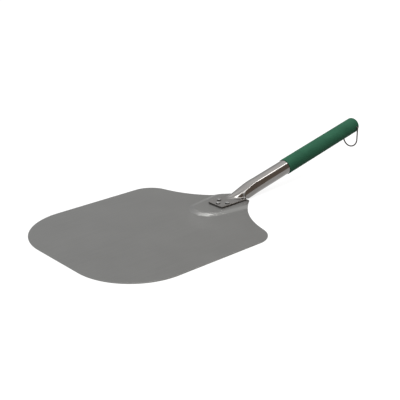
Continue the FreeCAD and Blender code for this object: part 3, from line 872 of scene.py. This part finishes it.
def rivet_material():
    """Aluminium a little brighter than the sheet, with small dents from setting."""
    material, tree, surface, place = new_material("rivet_metal")
    dents = grain(tree, place, LEVEL, (420, 420, 420), 2.0)
    put(tree, surface, Metallic=1.0,
        Base_Color=tint(tree, spread(tree, dents, 0.0, 1.0),
                        (0.20, 0.20, 0.196), (0.26, 0.26, 0.255)),
        Roughness=spread(tree, dents, 0.285, 0.38),
        Normal=bump(tree, dents, 0.03 * MM, 0.5))
    return material


def grip_material():
    """Dark green moulded plastic with a fine matt grain and faint patches."""
    material, tree, surface, place = new_material("green_grip")
    pebble = grain(tree, place, UP_THE_HANDLE, (1500, 1500, 1500), 2.0)
    patches = grain(tree, place, UP_THE_HANDLE, (26, 50, 50), 4.0, 0.6)
    put(tree, surface,
        Base_Color=tint(tree, spread(tree, patches, 0.0, 1.0),
                        (0.018, 0.076, 0.044), (0.025, 0.100, 0.058)),
        Roughness=spread(tree, patches, 0.56, 0.66),
        IOR=1.3, Specular_IOR_Level=0.1,
        Normal=bump(tree, pebble, 0.02 * MM, 0.35))
    return material


def wire_material():
    """Plain drawn steel wire, a little dull."""
    material, tree, surface, place = new_material("steel_wire")
    marks = grain(tree, place, LEVEL, (500, 500, 90), 3.0)
    put(tree, surface, Metallic=1.0,
        Base_Color=tint(tree, spread(tree, marks, 0.0, 1.0),
                        (0.060, 0.054, 0.050), (0.085, 0.078, 0.072)),
        Roughness=spread(tree, marks, 0.285, 0.36),
        Normal=bump(tree, marks, 0.01 * MM, 0.4))
    return material


def paint(piece, material):
    """Gives a piece its only material."""
    piece.data.materials.clear()
    piece.data.materials.append(material)


# --------------------------------------------------------------------- studio
VIEW_AZIMUTH = math.radians(-42.11)
VIEW_ELEVATION = math.radians(21.38)
VIEW_DISTANCE = 1.376
VIEW_TARGET = Vector((0.1278, 0.0055, 0.0192))
VIEW_LENS = 76.47


def make_camera():
    """Looks down at the peel from its front right."""
    back = Vector((math.sin(VIEW_AZIMUTH) * math.cos(VIEW_ELEVATION),
                   -math.cos(VIEW_AZIMUTH) * math.cos(VIEW_ELEVATION),
                   math.sin(VIEW_ELEVATION)))
    data = bpy.data.cameras.new("camera")
    data.lens = VIEW_LENS
    data.sensor_width = 36
    camera = add_object("camera", data)
    camera.location = VIEW_TARGET + back * VIEW_DISTANCE
    camera.rotation_euler = back.to_track_quat("Z", "Y").to_euler()
    bpy.context.scene.camera = camera


def area_light(name, direction, distance, size, power, aim, beam=math.pi):
    """A soft box that faces the point it is aimed at, its width along X."""
    data = bpy.data.lights.new(name, "AREA")
    data.shape = "RECTANGLE"
    data.size, data.size_y = size
    data.energy = power
    data.spread = beam
    light = add_object(name, data)
    away = Vector(direction).normalized()
    light.location = Vector(aim) + away * distance
    up = away.cross(Vector((1, 0, 0))).normalized()
    light.rotation_euler = Matrix((up.cross(away), up, away)).transposed().to_euler()


def make_lights():
    """A long strip overhead, which draws the bright line along the tube, and
    a small lamp that only glints on the boss."""
    area_light("overhead_strip", direction=(0.08, -0.325, 0.94), distance=1.6,
               size=(2.6, 0.2), power=13, aim=(0.2, 0, 0.03))
    area_light("boss_lamp", direction=(0.40, 0.48, 0.78), distance=0.48, size=(0.03, 0.03),
               power=0.00045, aim=(0.115, -0.02, 0.004), beam=math.radians(10))


def make_world():
    """A pale room, brightest overhead, darker and warmer low on the near side."""
    world = bpy.data.worlds.new("room")
    bpy.context.scene.world = world
    world.use_nodes = True
    tree = world.node_tree
    tree.nodes.clear()
    direction = shader(tree, "ShaderNodeTexCoord").outputs["Generated"]
    parts = shader(tree, "ShaderNodeSeparateXYZ", inputs={"Vector": direction})
    overhead = smooth_range(tree, parts.outputs["Z"], 0.3, 0.95)
    sideways = parts.outputs["X"]
    horizon = tint(tree, smooth_range(tree, sideways, 0.35, 0.85), (0.75, 0.76, 0.77), (0.67, 0.66, 0.64))
    room = tint(tree, overhead, horizon, (1.80, 1.80, 1.80))
    dark_side = Vector((0.40, -0.90, 0.20)).normalized()
    facing = shader(tree, "ShaderNodeVectorMath", {"operation": "DOT_PRODUCT"}, {
        0: direction, 1: dark_side}).outputs["Value"]
    colour = tint(tree, smooth_range(tree, facing, 0.45, 0.80), room, (0.36, 0.29, 0.24))
    background = shader(tree, "ShaderNodeBackground", inputs={"Color": colour, "Strength": 1.0})
    output = shader(tree, "ShaderNodeOutputWorld")
    tree.links.new(background.outputs["Background"], output.inputs["Surface"])


def make_floor():
    """A glowing white floor. The metal mirrors its glow, but diffuse rays
    don't see it, so the grip stays dark underneath."""
    reach = 15
    corners = [(-reach, -reach, 0), (reach, -reach, 0), (reach, reach, 0), (-reach, reach, 0)]
    mesh = bpy.data.meshes.new("floor")
    mesh.from_pydata(corners, [], [(0, 1, 2, 3)])
    floor = add_object("floor", mesh)
    floor.location.z = -0.05 * MM
    material, tree, surface, _ = new_material("pale_floor")
    bounce = shader(tree, "ShaderNodeLightPath").outputs["Is Diffuse Ray"]
    glow = shader(tree, "ShaderNodeMapRange", inputs={"Value": bounce, "To Min": 0.88, "To Max": 0.0})
    put(tree, surface, Base_Color=(0.16, 0.16, 0.16, 1), Roughness=0.9, Specular_IOR_Level=0.0,
        Emission_Color=(1, 1, 1, 1), Emission_Strength=glow.outputs["Result"])
    paint(floor, material)


# --------------------------------------------------------------------- build
paint(make_blade(), blade_material())
rivet_metal = rivet_material()
for node, place in RIVETS.items():
    paint(make_rivet(node, place), rivet_metal)
paint(make_tube(), tube_material())
paint(make_grip(), grip_material())
paint(make_loop(), wire_material())

make_camera()
make_world()
make_floor()
make_lights()
bpy.context.scene.view_settings.view_transform = "Standard"
